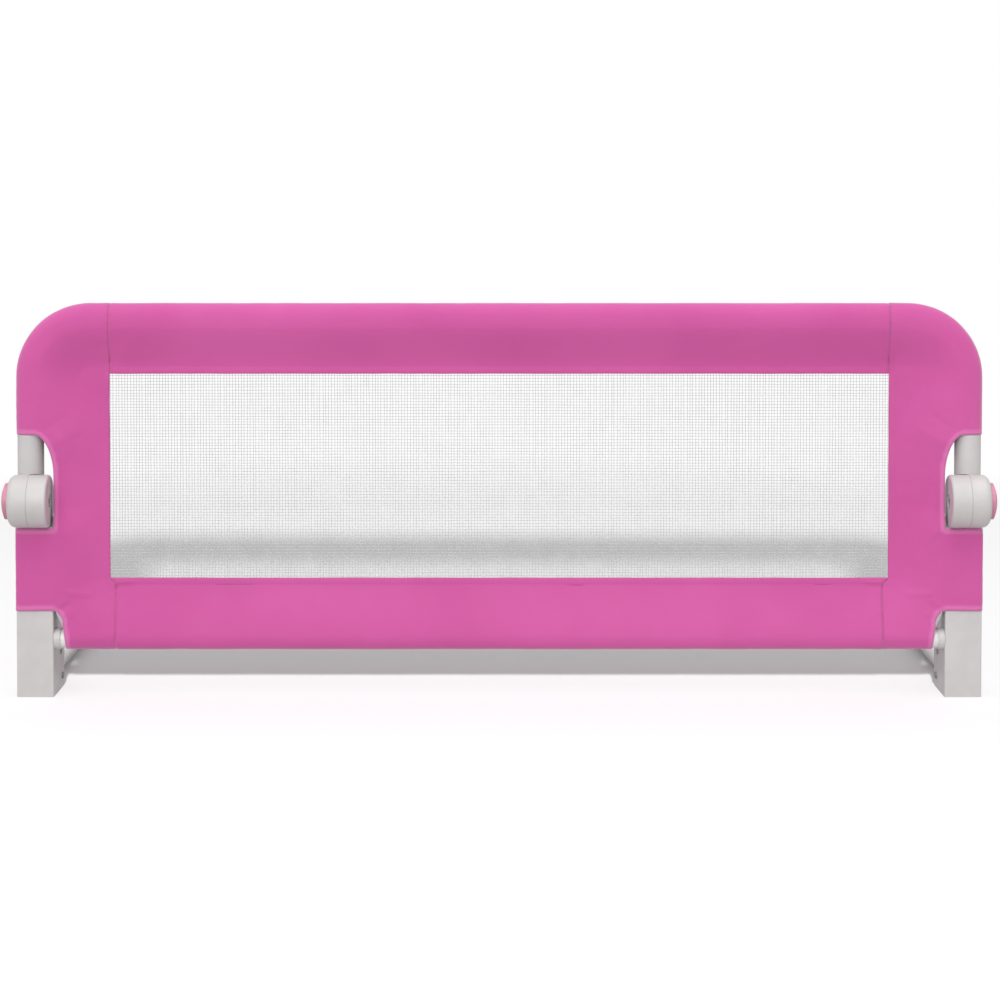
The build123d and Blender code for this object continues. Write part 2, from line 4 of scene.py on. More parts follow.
import bmesh
import bpy
import numpy as np
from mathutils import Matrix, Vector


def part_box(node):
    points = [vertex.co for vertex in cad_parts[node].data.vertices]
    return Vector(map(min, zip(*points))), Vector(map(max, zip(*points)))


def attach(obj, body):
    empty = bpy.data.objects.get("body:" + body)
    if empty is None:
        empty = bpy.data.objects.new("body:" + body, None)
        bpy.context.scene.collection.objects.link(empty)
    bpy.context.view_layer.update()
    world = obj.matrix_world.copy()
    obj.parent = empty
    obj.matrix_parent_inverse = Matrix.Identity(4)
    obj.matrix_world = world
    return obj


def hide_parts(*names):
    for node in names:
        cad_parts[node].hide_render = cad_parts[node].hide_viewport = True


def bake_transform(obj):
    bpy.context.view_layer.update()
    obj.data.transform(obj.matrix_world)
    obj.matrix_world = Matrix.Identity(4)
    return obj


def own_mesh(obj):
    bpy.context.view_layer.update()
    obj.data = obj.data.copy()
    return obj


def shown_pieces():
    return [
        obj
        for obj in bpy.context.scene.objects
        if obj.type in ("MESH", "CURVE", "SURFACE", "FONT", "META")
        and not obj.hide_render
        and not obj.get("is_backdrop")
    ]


# The looks of a fold-down bed rail: its cloth cover, mesh window, lock springs and finishes.
# Lengths are in millimetres, in the frame's own axes, and become metres where a mesh is written.
# A side panel's x and z are those of the right-hand panel; the left one is its mirror image.

MM = 0.001

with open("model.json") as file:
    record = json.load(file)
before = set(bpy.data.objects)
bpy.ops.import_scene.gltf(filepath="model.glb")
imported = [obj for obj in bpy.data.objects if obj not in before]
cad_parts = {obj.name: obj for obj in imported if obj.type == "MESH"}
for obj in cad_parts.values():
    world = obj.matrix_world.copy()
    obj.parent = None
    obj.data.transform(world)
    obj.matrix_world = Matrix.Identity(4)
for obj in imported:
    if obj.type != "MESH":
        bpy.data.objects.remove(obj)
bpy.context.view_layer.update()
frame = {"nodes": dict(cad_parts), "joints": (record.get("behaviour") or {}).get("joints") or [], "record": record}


def box_mm(node):
    """Lowest and highest corner of a CAD node, in millimetres."""
    low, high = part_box(node)
    return np.array(low) / MM, np.array(high) / MM


hinge = np.array(next(j for j in frame["joints"] if j["name"] == "rail_fold")["pos_m"]) / MM
hinge_y, hinge_z = hinge[1], hinge[2]
top_tube_low, top_tube_high = box_mm("top_tube")
tube_y = (top_tube_low[1] + top_tube_high[1]) / 2
tube_z = (top_tube_low[2] + top_tube_high[2]) / 2
tube_radius = (top_tube_high[2] - top_tube_low[2]) / 2
tube_x = box_mm("right_corner_tube")[1][0] - tube_radius
tube_bend = 62.0
bend_x = tube_x - tube_bend
bend_z = tube_z - tube_bend
cross_low, cross_high = box_mm("lower_cross_tube")
cross_y = (cross_low[1] + cross_high[1]) / 2
cross_z = (cross_low[2] + cross_high[2]) / 2
cross_radius = (cross_high[2] - cross_low[2]) / 2
mesh_low, mesh_high = box_mm("mesh_lower")
mid_y = (mesh_low[1] + mesh_high[1]) / 2
window_bottom = mesh_low[2]
window_top = box_mm("mesh_upper")[1][2]
window_half = mesh_high[0]
pocket_low, pocket_high = box_mm("right_cover_side_lower")
pocket_x = pocket_high[0]
pocket_front = pocket_low[1]
pocket_back = pocket_high[1]

sleeve_radius = tube_radius + 1.9
hem_radius = cross_radius + 1.5
layer = 1.0            # the outer face of each cloth layer, from the panel's middle plane
cloth = 0.55           # thickness of the cloth
hem_rise = 0.35        # how far a folded hem stands above the single cloth
hem_width = 5.5
hub_cut_x = 458.0
hub_cut_top = 271.0
hub_cut_bottom = 174.5
hub_arch_x = 19.0      # half axes of the elliptic corner of the hub's cut-out
hub_arch_z = 43.0
foot_cut_x = 449.0
foot_cut_top = 89.5
foot_corner = 12.0
foot_lean = 3.5        # how far the foot's cut-out leans in towards its lower end
seam_lean = 5.5        # how far the bottom seams stand inside the window's edge
leg_shape_z = 206.0    # a side panel is shaped to the corner tube above this height,
leg_shape_drop = 40.0  # and wholly to the leg this far below it
free_edge_low = 204.0  # beside the hub nothing holds the cloth out, from this height
free_edge_high = 230.0
pocket_grip = 26.0     # how far below the hub the leg has filled the pocket out
fan_drop = 60.0        # height over which the slope widens below the corner
seam_ease = 9.0        # height over which the bottom seams lean in
hem_edge = 0.8         # half the width of the step at a hem's inner edge
cut_hem_edge = 1.4     # width of that step round the cut-outs
seam_spread = 30.0     # how far into a side panel the lean of its bottom seam reaches


def smooth(t):
    """3t^2 - 2t^3 between 0 and 1, flat outside."""
    t = np.clip(t, 0.0, 1.0)
    return t * t * (3 - 2 * t)


# ---------------------------------------------------------------- camera, light and floor

cover_distance = 2497.0
look_down = math.radians(7.8)
camera_pitch = math.radians(2.0)
lens = 88.0
sensor = 36.0
aim_z = 204.2
camera_data = bpy.data.cameras.new("camera")
camera = bpy.data.objects.new("camera", camera_data)
bpy.context.scene.collection.objects.link(camera)
bpy.context.scene.camera = camera
camera_data.lens = lens
camera_data.sensor_width = sensor
camera_data.clip_start = 0.05
camera_data.clip_end = 200.0
camera_data.shift_x = 0.0008
camera_data.shift_y = -math.tan(look_down - camera_pitch) * lens / sensor
camera.location = (0.0, (hinge_y - cover_distance) * MM, (aim_z + cover_distance * math.tan(look_down)) * MM)
camera.rotation_euler = (math.pi / 2 - camera_pitch, 0.0, 0.0)

bpy.context.scene.view_settings.view_transform = "Standard"
bpy.context.scene.view_settings.look = "None"

# An even white surround lights everything; only its strength towards the camera differs.
world = bpy.data.worlds.new("studio")
bpy.context.scene.world = world
world.use_nodes = True
world_nodes = world.node_tree.nodes
world_links = world.node_tree.links
ambient = world_nodes["Background"]
ambient.inputs["Color"].default_value = (1.0, 1.0, 1.0, 1.0)
ambient.inputs["Strength"].default_value = 0.57
backdrop = world_nodes.new("ShaderNodeBackground")
backdrop.inputs["Color"].default_value = (1.0, 1.0, 1.0, 1.0)
backdrop.inputs["Strength"].default_value = 1.0
light_path = world_nodes.new("ShaderNodeLightPath")
world_mix = world_nodes.new("ShaderNodeMixShader")
world_links.new(light_path.outputs["Is Camera Ray"], world_mix.inputs[0])
world_links.new(ambient.outputs[0], world_mix.inputs[1])
world_links.new(backdrop.outputs[0], world_mix.inputs[2])
world_links.new(world_mix.outputs[0], world_nodes["World Output"].inputs["Surface"])

object_group = bpy.data.collections.new("lit_object")
floor_group = bpy.data.collections.new("lit_floor")


def sunlight(name, elevation, bearing, spread, strength, group):
    """A soft sun that lights only the pieces in group. Bearing 0 shines along +Y, in degrees."""
    data = bpy.data.lights.new(name, "SUN")
    data.energy = strength
    data.angle = math.radians(spread)
    lamp = bpy.data.objects.new(name, data)
    bpy.context.scene.collection.objects.link(lamp)
    lamp.rotation_euler = (math.radians(90 - elevation), 0.0, math.radians(-bearing))
    lamp.light_linking.receiver_collection = group


sunlight("key", 27.0, 12.0, 40.0, 1.2, object_group)
sunlight("overhead", 80.0, 0.0, 60.0, 1.5, object_group)

# A small lamp above the camera throws the floor's shadow; its light does not weaken with distance.
lamp_distance = 4300.0
lamp_height = 2020.0
lamp_data = bpy.data.lights.new("floor_lamp", "SPOT")
lamp_data.energy = 1000.0
lamp_data.shadow_soft_size = 0.14
lamp_data.spot_size = math.radians(160)
lamp_data.spot_blend = 1.0
lamp_data.use_nodes = True
lamp_nodes = lamp_data.node_tree.nodes
falloff = lamp_nodes.new("ShaderNodeLightFalloff")
falloff.inputs["Strength"].default_value = 0.058
lamp_data.node_tree.links.new(falloff.outputs["Constant"], lamp_nodes["Emission"].inputs["Strength"])
floor_lamp = bpy.data.objects.new("floor_lamp", lamp_data)
bpy.context.scene.collection.objects.link(floor_lamp)
floor_lamp.location = (0.0, (hinge_y - lamp_distance) * MM, lamp_height * MM)
floor_lamp.rotation_euler = (math.radians(66), 0.0, 0.0)
floor_lamp.light_linking.receiver_collection = floor_group

floor_half = 40.0
floor_mesh = bpy.data.meshes.new("floor")
floor_corners = [(x * floor_half, y * floor_half, 0.0) for x, y in ((-1, -1), (1, -1), (1, 1), (-1, 1))]
floor_mesh.from_pydata(floor_corners, [], [(0, 1, 2, 3)])
floor = bpy.data.objects.new("floor", floor_mesh)
bpy.context.scene.collection.objects.link(floor)
floor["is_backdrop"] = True
floor_group.objects.link(floor)


# ---------------------------------------------------------------- finishes

class Finish:
    """A material under construction, with short ways to add the nodes that a finish needs."""

    def __init__(self, name, colour, roughness):
        self.material = bpy.data.materials.new(name)
        self.material.use_nodes = True
        self.nodes = self.material.node_tree.nodes
        self.links = self.material.node_tree.links
        self.shader = self.nodes["Principled BSDF"]
        self.shader.inputs["Base Color"].default_value = (*colour, 1.0)
        self.shader.inputs["Roughness"].default_value = roughness
        self.material.diffuse_color = (*colour, 1.0)
        self.place = self.nodes.new("ShaderNodeTexCoord")
        self.height = None

    def noise(self, scale, detail=2.0, source="Object"):
        node = self.nodes.new("ShaderNodeTexNoise")
        node.inputs["Scale"].default_value = scale
        node.inputs["Detail"].default_value = detail
        self.links.new(self.place.outputs[source], node.inputs["Vector"])
        return node.outputs["Fac"]

    def spread(self, value, low, high, new_low=0.0, new_high=1.0):
        node = self.nodes.new("ShaderNodeMapRange")
        node.inputs["From Min"].default_value = low
        node.inputs["From Max"].default_value = high
        node.inputs["To Min"].default_value = new_low
        node.inputs["To Max"].default_value = new_high
        self.links.new(value, node.inputs["Value"])
        return node.outputs["Result"]

    def sum(self, a, b, kind="ADD"):
        node = self.nodes.new("ShaderNodeMath")
        node.operation = kind
        self.links.new(a, node.inputs[0])
        if isinstance(b, float):
            node.inputs[1].default_value = b
        else:
            self.links.new(b, node.inputs[1])
        return node.outputs[0]

    def tint(self, factor, first, second):
        """Base colour that runs from first, a colour or the colour so far, to second."""
        node = self.nodes.new("ShaderNodeMix")
        node.data_type = "RGBA"
        self.links.new(factor, node.inputs["Factor"])
        if isinstance(first, tuple):
            node.inputs["A"].default_value = (*first, 1.0)
        else:
            self.links.new(first, node.inputs["A"])
        node.inputs["B"].default_value = (*second, 1.0)
        self.links.new(node.outputs["Result"], self.shader.inputs["Base Color"])
        return node.outputs["Result"]

    def rough(self, value):
        self.links.new(value, self.shader.inputs["Roughness"])

    def bump(self, height, strength, distance):
        """Adds a layer of bump over the ones before it."""
        node = self.nodes.new("ShaderNodeBump")
        node.inputs["Strength"].default_value = strength
        node.inputs["Distance"].default_value = distance
        self.links.new(height, node.inputs["Height"])
        if self.height is not None:
            self.links.new(self.height, node.inputs["Normal"])
        self.height = node.outputs["Normal"]
        self.links.new(self.height, self.shader.inputs["Normal"])

    def threads(self, pitch):
        """Height of a plain weave on the piece's own UV map, in metres: one thread every pitch each way."""
        made = []
        for direction in ("X", "Y"):
            node = self.nodes.new("ShaderNodeTexWave")
            node.bands_direction = direction
            node.inputs["Scale"].default_value = math.pi / (10.0 * pitch)
            node.inputs["Distortion"].default_value = 0.6
            node.inputs["Detail"].default_value = 1.0
            node.inputs["Detail Scale"].default_value = 0.4
            self.links.new(self.place.outputs["UV"], node.inputs["Vector"])
            made.append(node.outputs["Fac"])
        return self.sum(made[0], made[1], "MULTIPLY")


def pink_cloth():
    """Woven polyester: a fine plain weave, faint mottling, and a painted highlight: lighter pink along the folded
    hems round the cut-outs.
    """
    finish = Finish("pink_cloth", (0.60, 0.095, 0.33), 0.72)
    mottle = finish.spread(finish.noise(7.0, 3.0), 0.35, 0.65)
    colour = finish.tint(mottle, (0.585, 0.088, 0.325), (0.635, 0.104, 0.36))
    threads = finish.threads(0.00055)
    colour = finish.tint(finish.spread(threads, 0.0, 0.5, 0.16, 0.0), colour, (0.42, 0.04, 0.21))
    # painted highlight: where the hem attribute is set, the cloth is tinted lighter pink, as if light caught the
    # folded hems
    edge = finish.nodes.new("ShaderNodeAttribute")
    edge.attribute_name = "hem"
    finish.tint(finish.sum(edge.outputs["Fac"], 0.6, "MULTIPLY"), colour, (0.72, 0.20, 0.46))
    finish.rough(finish.spread(finish.noise(30.0), 0.3, 0.7, 0.66, 0.8))
    finish.bump(threads, 0.25, 0.00012)
    finish.bump(finish.noise(160.0, 3.0), 0.10, 0.0004)
    finish.shader.inputs["Sheen Weight"].default_value = 0.6
    finish.shader.inputs["Sheen Roughness"].default_value = 0.45
    finish.shader.inputs["Specular IOR Level"].default_value = 0.3
    return finish.material


def white_yarn():
    """Matt polyester yarn with a slight twist."""
    finish = Finish("white_mesh", (0.60, 0.60, 0.60), 0.6)
    finish.tint(finish.spread(finish.noise(60.0, 3.0), 0.3, 0.7), (0.55, 0.55, 0.555), (0.64, 0.64, 0.64))
    finish.bump(finish.noise(2500.0), 0.2, 0.0001)
    return finish.material


def moulded_plastic(name, low, high, roughness, grain=1400.0):
    """Injection-moulded plastic: a fine spark grain, faint flow marks and uneven gloss."""
    finish = Finish(name, high, roughness)
    flow = finish.sum(finish.noise(14.0, 4.0), finish.noise(55.0), "MULTIPLY")
    finish.tint(finish.spread(flow, 0.12, 0.4), low, high)
    finish.rough(finish.spread(finish.noise(40.0, 3.0), 0.3, 0.7, roughness - 0.06, roughness + 0.08))
    finish.bump(finish.noise(grain, 2.0), 0.12, 0.00012)
    finish.bump(finish.noise(22.0, 1.0), 0.06, 0.0006)
    return finish.material


def powder_coat():
    """White powder coat on steel tube, with a slight orange peel."""
    finish = Finish("tube_paint", (0.78, 0.77, 0.76), 0.34)
    finish.tint(finish.spread(finish.noise(9.0, 3.0), 0.3, 0.7), (0.74, 0.73, 0.72), (0.80, 0.795, 0.785))
    finish.rough(finish.spread(finish.noise(35.0), 0.3, 0.7, 0.28, 0.42))
    finish.bump(finish.noise(420.0, 1.5), 0.12, 0.0002)
    return finish.material


def rubber():
    """Soft dark-grey foot pad."""
    finish = Finish("pad_rubber", (0.09, 0.09, 0.095), 0.8)
    finish.tint(finish.spread(finish.noise(120.0, 4.0), 0.3, 0.7), (0.07, 0.07, 0.075), (0.12, 0.12, 0.12))
    finish.bump(finish.noise(900.0), 0.3, 0.0002)
    return finish.material


def steel(name, low, high, roughness):
    """Plated steel with fine drawing marks."""
    finish = Finish(name, high, roughness)
    finish.shader.inputs["Metallic"].default_value = 1.0
    finish.tint(finish.spread(finish.noise(300.0, 4.0), 0.3, 0.7), low, high)
    finish.rough(finish.spread(finish.noise(700.0, 2.0), 0.3, 0.7, roughness - 0.08, roughness + 0.1))
    finish.bump(finish.noise(1500.0), 0.08, 0.0001)
    return finish.material


glow_start = 1.3       # metres from the middle of the floor
glow_full = 1.9


def white_floor():
    """Matt white, which glows plain white from glow_full out, so that the floor runs into the surround.
    It throws back less light than it shows to the camera."""
    finish = Finish("floor", (0.86, 0.86, 0.86), 0.9)
    finish.shader.inputs["Specular IOR Level"].default_value = 0.0
    reach = finish.nodes.new("ShaderNodeVectorMath")
    reach.operation = "LENGTH"
    finish.links.new(finish.place.outputs["Object"], reach.inputs[0])
    finish.shader.inputs["Emission Color"].default_value = (1.0, 1.0, 1.0, 1.0)
    glow = finish.spread(reach.outputs["Value"], glow_start, glow_full)
    path = finish.nodes.new("ShaderNodeLightPath")
    seen = finish.spread(path.outputs["Is Camera Ray"], 0.0, 1.0, 0.66, 1.0)
    colour = finish.tint(seen, (0.0, 0.0, 0.0), (0.86, 0.86, 0.86))
    finish.tint(glow, colour, (0.0, 0.0, 0.0))
    finish.links.new(finish.sum(glow, seen, "MULTIPLY"), finish.shader.inputs["Emission Strength"])
    return finish.material


floor_mesh.materials.append(white_floor())
finishes = {
    "pink_cloth": pink_cloth(),
    "white_mesh": white_yarn(),
    "grey_plastic": moulded_plastic("grey_plastic", (0.55, 0.522, 0.522), (0.60, 0.572, 0.572), 0.42),
    "tube_paint": powder_coat(),
    "pink_plastic": moulded_plastic("pink_plastic", (0.56, 0.21, 0.31), (0.63, 0.25, 0.36), 0.36),
    "lock_plastic": moulded_plastic("lock_plastic", (0.74, 0.74, 0.72), (0.80, 0.80, 0.78), 0.4),
    "pad_rubber": rubber(),
    "dark_steel": steel("dark_steel", (0.28, 0.28, 0.29), (0.38, 0.38, 0.39), 0.38),
    "bright_steel": steel("bright_steel", (0.55, 0.55, 0.56), (0.68, 0.68, 0.69), 0.26),
}

for part in frame["record"]["subparts"]:
    node = frame["nodes"][part["node"]]
    if not node.material_slots:
        node.data.materials.append(None)
    for material_slot in node.material_slots:
        material_slot.material = finishes[part["material_slot"]]


# ---------------------------------------------------------------- surfaces

def patch(points, spread, hem=None, keep=None):
    """Quads between neighbouring points of a grid. spread is the flat place of each point on the cloth,
    hem is 1 on folded hems, where the cloth's painted highlight goes, and keep says which points stay."""
    rows, columns = points.shape[:2]
    index = np.arange(rows * columns).reshape(rows, columns)
    corners = [index[:-1, :-1], index[:-1, 1:], index[1:, 1:], index[1:, :-1]]
    quads = np.stack(corners, -1).reshape(-1, 4)
    if keep is not None:
        quads = quads[keep.reshape(-1)[quads].all(1)]
    hem = np.zeros((rows, columns)) if hem is None else hem
    return points.reshape(-1, 3), quads, spread.reshape(-1, 2), hem.reshape(-1)


def make_piece(name, patches, material, weld=0.02):
    """One mesh from several patches: doubles are merged, loose points go, faces point outwards."""
    starts = np.cumsum([0] + [len(p[0]) for p in patches])
    points = np.concatenate([p[0] for p in patches]) * MM
    quads = np.concatenate([p[1] + start for p, start in zip(patches, starts)])
    spread = np.concatenate([p[2] for p in patches]) * MM
    hem = np.concatenate([p[3] for p in patches])
    mesh = bpy.data.meshes.new(name)
    mesh.from_pydata(points.tolist(), [], quads.tolist())
    mesh.uv_layers.new(name="flat").data.foreach_set("uv", spread[quads.reshape(-1)].ravel())
    # the hem attribute marks where the cloth's painted highlight goes
    mesh.attributes.new("hem", "FLOAT", "POINT").data.foreach_set("value", hem.astype(np.float32))
    made = bmesh.new()
    made.from_mesh(mesh)
    bmesh.ops.remove_doubles(made, verts=made.verts, dist=weld * MM)
    bmesh.ops.delete(made, geom=[v for v in made.verts if not v.link_faces], context="VERTS")
    bmesh.ops.dissolve_degenerate(made, edges=made.edges, dist=weld * MM)
    bmesh.ops.recalc_face_normals(made, faces=made.faces)
    foremost = min(made.faces, key=lambda f: f.calc_center_median().y)
    if foremost.normal.y > 0:
        bmesh.ops.reverse_faces(made, faces=made.faces)
    made.to_mesh(mesh)
    made.free()
    mesh.polygons.foreach_set("use_smooth", [True] * len(mesh.polygons))
    mesh.materials.append(material)
    piece = bpy.data.objects.new(name, mesh)
    bpy.context.scene.collection.objects.link(piece)
    return piece


def ripple(name, depth, waves, seed):
    """Displaces a piece along its normals by a sum of plane waves with seeded directions and phases,
    each of a wavelength and share from waves, times depth."""
    mesh = bpy.data.objects[name].data
    count = len(mesh.vertices)
    points = np.empty(count * 3)
    normals = np.empty(count * 3)
    mesh.vertices.foreach_get("co", points)
    mesh.vertices.foreach_get("normal", normals)
    points = points.reshape(-1, 3) / MM
    chance = np.random.default_rng(seed)
    height = np.zeros(count)
    for wavelength, share in waves:
        for _ in range(3):
            turn = chance.uniform(0, 2 * math.pi)
            phase = chance.uniform(0, 2 * math.pi)
            along = points[:, 0] * math.cos(turn) + points[:, 2] * math.sin(turn) + 0.7 * points[:, 1]
            height += share * np.sin(2 * math.pi * along / wavelength + phase) / 3
    moved = points + normals.reshape(-1, 3) * (height * depth)[:, None]
    mesh.vertices.foreach_set("co", (moved * MM).ravel())
    mesh.update()


def thicken(piece):
    """Gives a cloth surface its thickness, on the inside."""
    wall = piece.modifiers.new("cloth", "SOLIDIFY")
    wall.thickness = cloth * MM
    wall.offset = -1.0
    wall.use_rim = True


inner_count = 24
round_count = 20
swell_power = 2.5
sleeve_swell = 25.0    # length of a sleeve's rounded front, along the panel
hem_swell = 15.0
slope_reach = 51.0     # where the cloth begins to slope out to a tube, from the tube's centre
hem_reach = 57.0


def slope(t):
    """Runs from 0 to 1 as cloth does between an edge and a tube: nearly straight, eased at both ends."""
    t = np.clip(t, 0.0, 1.0)
    return 0.55 * t + 0.45 * smooth(t)


def sleeve_line(radius, swell, middle, side, from_panel, reach):
    """Half of a sleeve's cross-section, from the panel to the far side of its tube: cloth that slopes
    out from the panel's middle plane to the tube's face, then a quarter of the superellipse
    (a / swell)^n + (b / radius)^n = 1 over the tube, whose front is a little fuller than an ellipse.
    Returns the distance from the tube's centre towards the panel, and the offset across the panel.
    middle is the panel's middle plane seen from the tube's centre, and side is -1 in front, 1 behind."""
    lead = swell - radius
    flat = np.linspace(from_panel, lead, inner_count)
    flat_y = middle + side * layer
    flat_y = flat_y + (side * radius - flat_y) * slope((reach - flat) / (reach - lead))
    turn = np.linspace(math.pi / 2, 0, round_count + 1)[1:]
    inward = np.concatenate([flat, swell - radius - swell * np.cos(turn) ** (2 / swell_power)])
    across = np.concatenate([flat_y, side * radius * np.sin(turn) ** (2 / swell_power)])
    return inward, across


def sleeve_lean(inward, side, radius=sleeve_radius, swell=sleeve_swell):
    """Outward direction across the panel and along it, for a sleeve: straight out where the cloth is
    flat, turning to straight along the panel at the far side of the tube."""
    over = np.clip((swell - radius - inward) / swell, 0, 1)
    return side * np.sqrt(1 - over**2), over


def run_length(a, b):
    """Length along a line of points, from its first."""
    return np.concatenate([[0.0], np.cumsum(np.hypot(np.diff(a), np.diff(b)))])


# ---------------------------------------------------------------- side panels

seam_count = 11
past_leg_x = pocket_x + 9.0
foot_cut_end = cross_z - hem_radius - 4.0
trim_reach = 1.5
edge_turn = 1.8        # width over which a cloth edge turns in
turn_count = 30
tucked = 0.45          # the outer face of a layer where it turns in at a seam
slope_gap = 6.0        # flat strip beside the window
ramp_end_x = 456.5     # where the cloth has reached the leg's face
pocket_corner = 5.0
inner_end_x = tube_x - sleeve_swell + sleeve_radius
front_share = 0.72     # how far the front layer still stands out beside the hub
back_share = 0.12

# Creases of a side panel, right-hand: two ends (x, z), half width and height
creases = (
    ((443.0, 107.5), (424.0, 106.0), 3.2, 0.9),
    ((456.0, 91.5), (446.0, 101.0), 1.7, 0.8),
    ((452.5, 90.0), (441.0, 96.0), 1.5, -0.7),
    ((451.0, 84.0), (438.0, 86.5), 2.4, 0.7),
    ((461.0, 181.0), (446.0, 168.0), 3.0, 0.7),
    ((457.0, 262.0), (432.0, 277.0), 4.5, 0.6),
    ((466.0, 276.0), (447.0, 289.0), 4.0, -0.5),
    ((404.0, 334.0), (412.0, 361.0), 4.5, -0.8),
    ((408.0, 118.0), (398.0, 116.5), 2.0, 0.6),
    ((447.0, 240.0), (441.0, 196.0), 6.0, -0.5),
    ((425.0, 150.0), (418.0, 205.0), 9.0, 0.5),
)


def crease_height(x, z, lines):
    """Sum of ridges: each has a bell-shaped section about its line and fades past its ends."""
    height = np.zeros_like(x)
    for (x0, z0), (x1, z1), half_width, rise in lines:
        length = math.hypot(x1 - x0, z1 - z0)
        along = ((x - x0) * (x1 - x0) + (z - z0) * (z1 - z0)) / length**2
        near = np.clip(along, 0, 1)
        gap = np.hypot(x - x0 - near * (x1 - x0), z - z0 - near * (z1 - z0))
        height += rise * np.exp(-((gap / half_width) ** 2))
    return height


def pucker(from_seam, along, phase):
    """Small gathers across a seam: uneven waves along it that die away within about 12 mm."""
    wave = np.sin(along / 1.5 + phase) + 0.6 * np.sin(along / 2.7 + 2.0 * phase)
    return 0.22 * wave * np.exp(-from_seam / 5.0)


def polyline(*runs):
    """Joins runs of points into one line."""
    return np.concatenate([r[0] for r in runs]), np.concatenate([r[1] for r in runs])


def hub_cut_line():
    """The edge of the hub's cut-out: up its inner side, then an elliptic corner out to the neck."""
    turn = np.linspace(0, math.pi / 2, 40)
    return polyline(
        (np.array([past_leg_x, hub_cut_x]), np.full(2, hub_cut_bottom)),
        (hub_cut_x + hub_arch_x * (1 - np.cos(turn)), hub_cut_top - hub_arch_z * (1 - np.sin(turn))),
        (np.array([past_leg_x]), np.array([hub_cut_top])),
    )


def foot_cut_line():
    """The edge of the foot's cut-out: in along the pocket's lower edge, round a corner and down."""
    turn = np.linspace(math.pi / 2, math.pi, 12)
    return polyline(
        (np.array([past_leg_x]), np.array([foot_cut_top])),
        (foot_cut_x + foot_corner * (1 + np.cos(turn)), foot_cut_top - foot_corner * (1 - np.sin(turn))),
        (np.array([foot_cut_x - foot_lean]), np.array([foot_cut_end])),
    )


def in_hub_cut(x, z):
    """True inside the hub's cut-out."""
    rise = np.clip((z - (hub_cut_top - hub_arch_z)) / hub_arch_z, 0, 1)
    edge = hub_cut_x + hub_arch_x * (1 - np.sqrt(1 - rise**2))
    return (z > hub_cut_bottom) & (z < hub_cut_top) & (x > edge)


def in_foot_cut(x, z):
    """True inside the foot's cut-out."""
    corner_z = foot_cut_top - foot_corner
    corner = np.hypot(x - foot_cut_x - foot_corner, z - corner_z)
    in_corner = (x < foot_cut_x + foot_corner) & (z > corner_z) & (corner > foot_corner)
    lean = foot_lean * np.clip((corner_z - z) / (corner_z - foot_cut_end), 0, 1)
    return (z < foot_cut_top) & (x > foot_cut_x - lean) & ~in_corner


def trim(x, z, line, inside):
    """Moves points within trim_reach of a cut line onto its nearest segment. Returns the new x and z,
    which points are cut away, and each point's distance from the line."""
    line_x, line_z = line
    step_x, step_z = np.diff(line_x), np.diff(line_z)
    share = (x[..., None] - line_x[:-1]) * step_x + (z[..., None] - line_z[:-1]) * step_z
    share = np.clip(share / (step_x**2 + step_z**2), 0, 1)
    near_x = line_x[:-1] + share * step_x
    near_z = line_z[:-1] + share * step_z
    gap = np.hypot(x[..., None] - near_x, z[..., None] - near_z)
    best = gap.argmin(-1)[..., None]
    distance = gap.min(-1)
    near = distance < trim_reach
    x = np.where(near, np.take_along_axis(near_x, best, -1)[..., 0], x)
    z = np.where(near, np.take_along_axis(near_z, best, -1)[..., 0], z)
    return x, z, inside & ~near, np.where(near, 0.0, distance)


def pocket_outer_line(side):
    """Cross-section round the outer part of a leg: along its face, round a corner to mid-side."""
    face = pocket_front if side < 0 else pocket_back
    turn = np.linspace(0, math.pi / 2, 12)
    line_x = np.concatenate([[inner_end_x], pocket_x - pocket_corner * (1 - np.sin(turn)), [pocket_x]])
    line_y = np.concatenate([[face], face - side * pocket_corner * (1 - np.cos(turn)), [mid_y]])
    length = run_length(line_x, line_y)
    even = np.linspace(0, length[-1], round_count + 1)[1:]
    return np.interp(even, length, line_x), np.interp(even, length, line_y)


def edge_relief(x, z):
    """Outward change of a layer near the seam line, where it dips, and 1 on the window's hem."""
    from_seam = x - window_half
    at_window = smooth((z - window_bottom + 2) / 4) * smooth((window_top + 2 - z) / 4)
    hem = at_window * smooth((hem_width + hem_edge - from_seam) / (2 * hem_edge))
    dip = smooth((edge_turn - from_seam) / edge_turn)
    gathers = pucker(from_seam, z, 1.3) * (1 - at_window)
    return hem_rise * hem - (layer - tucked + hem_rise * at_window) * dip + gathers


def panel_rows(side, x, rows):
    """Offset across the panel of the flat part of a layer: it slopes out from the window's edge to the
    corner tube above, to the leg below, and to the cross tube at the bottom."""
    flat = mid_y + side * layer
    tube_face = tube_y + side * sleeve_radius
    leg_face = pocket_front if side < 0 else pocket_back
    beside_hub = front_share if side < 0 else back_share
    corner_start = tube_x - slope_reach
    window_start = window_half + slope_gap
    start = corner_start - (corner_start - window_start) * smooth((bend_z - rows) / fan_drop)
    above_hub = smooth((rows - free_edge_high) / (hub_cut_top - free_edge_high))
    to_tube = slope((x - start) / (inner_end_x - start)) * (beside_hub + (1 - beside_hub) * above_hub)
    below_hub = smooth((free_edge_low - rows) / pocket_grip)
    to_leg = slope((x - window_start) / (ramp_end_x - window_start))
    to_leg = to_leg * (beside_hub + (1 - beside_hub) * below_hub)
    to_hem = slope((hem_reach - (rows - cross_z)) / (hem_reach - hem_swell + hem_radius))
    share = smooth((leg_shape_z - rows) / leg_shape_drop)
    upper = (tube_face - flat) * to_tube
    lower = (leg_face - flat) * to_leg
    lower = lower + (cross_y + side * hem_radius - flat - lower) * to_hem
    return flat + upper + (lower - upper) * share


